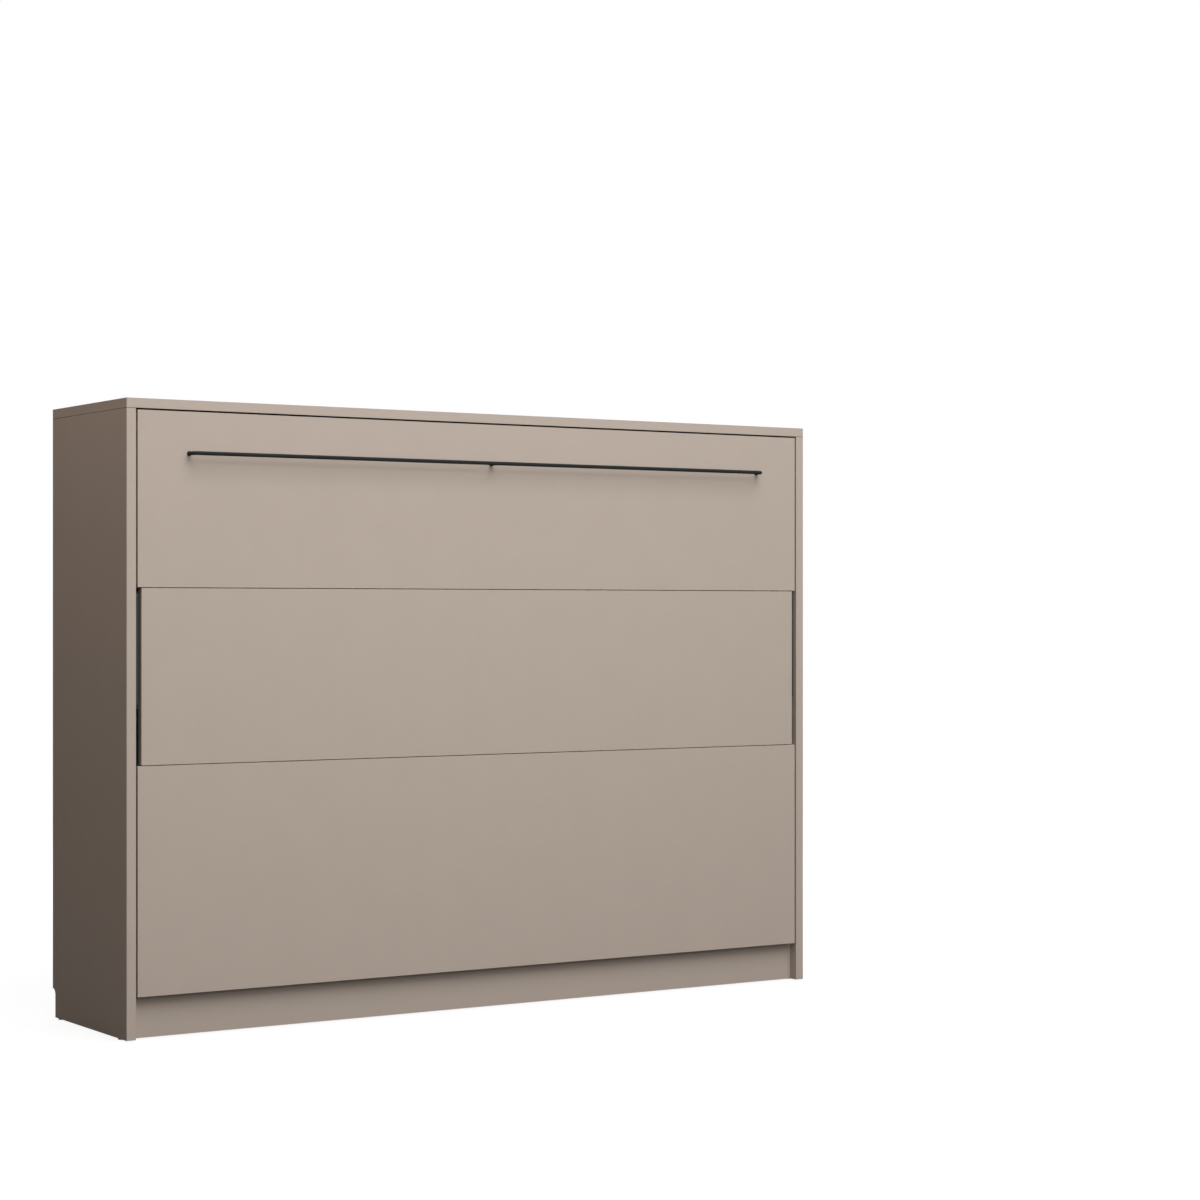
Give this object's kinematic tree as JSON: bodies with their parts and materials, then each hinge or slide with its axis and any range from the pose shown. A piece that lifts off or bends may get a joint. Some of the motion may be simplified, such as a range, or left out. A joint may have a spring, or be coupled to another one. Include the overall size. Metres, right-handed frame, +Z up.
{
  "type": "wall bed",
  "caption": "Horizontal foldaway wall bed: laminate cabinet whose panelled front with bar handle turns down on pivots and stands on drop legs.",
  "frame": {"origin": "centre of the closed bed's footprint, handle included, on the floor", "axes": "+X along the bed's length to the right of someone facing it, +Y to the wall, +Z up"},
  "size_m": [2.12, 0.529, 1.616],
  "materials": {
    "taupe_laminate": "matte",
    "back_board": "matte",
    "black_steel": "satin",
    "handle_steel": "satin",
    "zinc_steel": "satin",
    "spring_black": "gloss",
    "spring_rod": "polished",
    "black_plastic": "matte",
    "white_nylon": "satin",
    "black_rubber": "matte",
    "beech": "satin",
    "mattress_fabric": "matte",
    "webbing": "matte"
  },
  "bodies": {
    "cabinet": {"left_side_panel": "taupe_laminate", "right_side_panel": "taupe_laminate", "top_board": "taupe_laminate", "plinth_board": "taupe_laminate", "upper_rear_rail": "taupe_laminate", "lower_rear_rail": "taupe_laminate", "left_back_sheet": "back_board", "right_back_sheet": "back_board", "back_joint_strip": "white_nylon", "glide_feet": "black_plastic", "corner_brackets": "zinc_steel", "wood_screws": "zinc_steel", "left_mechanism_plate": "black_steel", "right_mechanism_plate": "black_steel", "pivot_pins": "zinc_steel", "upper_spring_studs": "zinc_steel", "stop_blocks": "black_plastic", "stop_pads": "black_rubber"},
    "bed": {"top_front_panel": "taupe_laminate", "middle_front_panel": "taupe_laminate", "bottom_front_panel": "taupe_laminate", "handle_bar": "handle_steel", "handle_centre_post": "handle_steel", "handle_collars": "handle_steel", "handle_screws": "zinc_steel", "left_frame_rail": "black_steel", "right_frame_rail": "black_steel", "upper_frame_rail": "black_steel", "lower_frame_rail": "black_steel", "frame_centre_beam": "black_steel", "left_frame_post": "black_steel", "right_frame_post": "black_steel", "lower_slats": "beech", "upper_slats": "beech", "slat_holders": "black_plastic", "mattress": "mattress_fabric", "mattress_straps": "webbing", "strap_buckles": "black_plastic", "mattress_hoops": "black_steel", "left_arm_plate": "black_steel", "right_arm_plate": "black_steel", "frame_bolts": "zinc_steel", "pivot_bushes": "white_nylon", "lower_spring_studs": "zinc_steel", "left_leg_channel": "black_steel", "right_leg_channel": "black_steel", "leg_pivot_pins": "zinc_steel", "panel_screws": "zinc_steel"},
    "left_leg": {"left_leg": "black_steel", "left_leg_foot": "black_rubber"},
    "right_leg": {"right_leg": "black_steel", "right_leg_foot": "black_rubber"},
    "left_gas_cylinder": {"left_gas_cylinder": "spring_black"},
    "right_gas_cylinder": {"right_gas_cylinder": "spring_black"},
    "left_gas_rod": {"left_gas_rod": "spring_rod"},
    "right_gas_rod": {"right_gas_rod": "spring_rod"}
  },
  "joints": [
    {"name": "bed_fold", "type": "hinge", "parent": "cabinet", "child": "bed", "pos_m": [0, -0.191, 0.29024], "axis": [1, 0, 0], "range_deg": [0, 90]},
    {"name": "left_leg_swing", "type": "hinge", "parent": "bed", "child": "left_leg", "pos_m": [-1.0279, -0.1995, 1.11498], "axis": [1, 0, 0], "range_deg": [-90, 0]},
    {"name": "left_cylinder_swing", "type": "hinge", "parent": "cabinet", "child": "left_gas_cylinder", "pos_m": [-1.0185, -0.17793, 0.43967], "axis": [1, 0, 0], "range_deg": [0, 45]},
    {"name": "left_rod_swing", "type": "hinge", "parent": "bed", "child": "left_gas_rod", "pos_m": [-1.0185, -0.16238, 0.143], "axis": [1, 0, 0], "range_deg": [-45, 0]},
    {"name": "right_leg_swing", "type": "hinge", "parent": "bed", "child": "right_leg", "pos_m": [1.0279, -0.1995, 1.11498], "axis": [1, 0, 0], "range_deg": [-90, 0]},
    {"name": "right_cylinder_swing", "type": "hinge", "parent": "cabinet", "child": "right_gas_cylinder", "pos_m": [1.0185, -0.17793, 0.43967], "axis": [1, 0, 0], "range_deg": [0, 45]},
    {"name": "right_rod_swing", "type": "hinge", "parent": "bed", "child": "right_gas_rod", "pos_m": [1.0185, -0.16238, 0.143], "axis": [1, 0, 0], "range_deg": [-45, 0]}
  ],
  "couplings": [
    {"joint": "left_leg_swing", "follows": "bed_fold", "ratio": -1},
    {"joint": "left_cylinder_swing", "follows": "bed_fold", "ratio": 0.5},
    {"joint": "left_rod_swing", "follows": "bed_fold", "ratio": -0.5},
    {"joint": "right_leg_swing", "follows": "bed_fold", "ratio": -1},
    {"joint": "right_cylinder_swing", "follows": "bed_fold", "ratio": 0.5},
    {"joint": "right_rod_swing", "follows": "bed_fold", "ratio": -0.5}
  ]
}
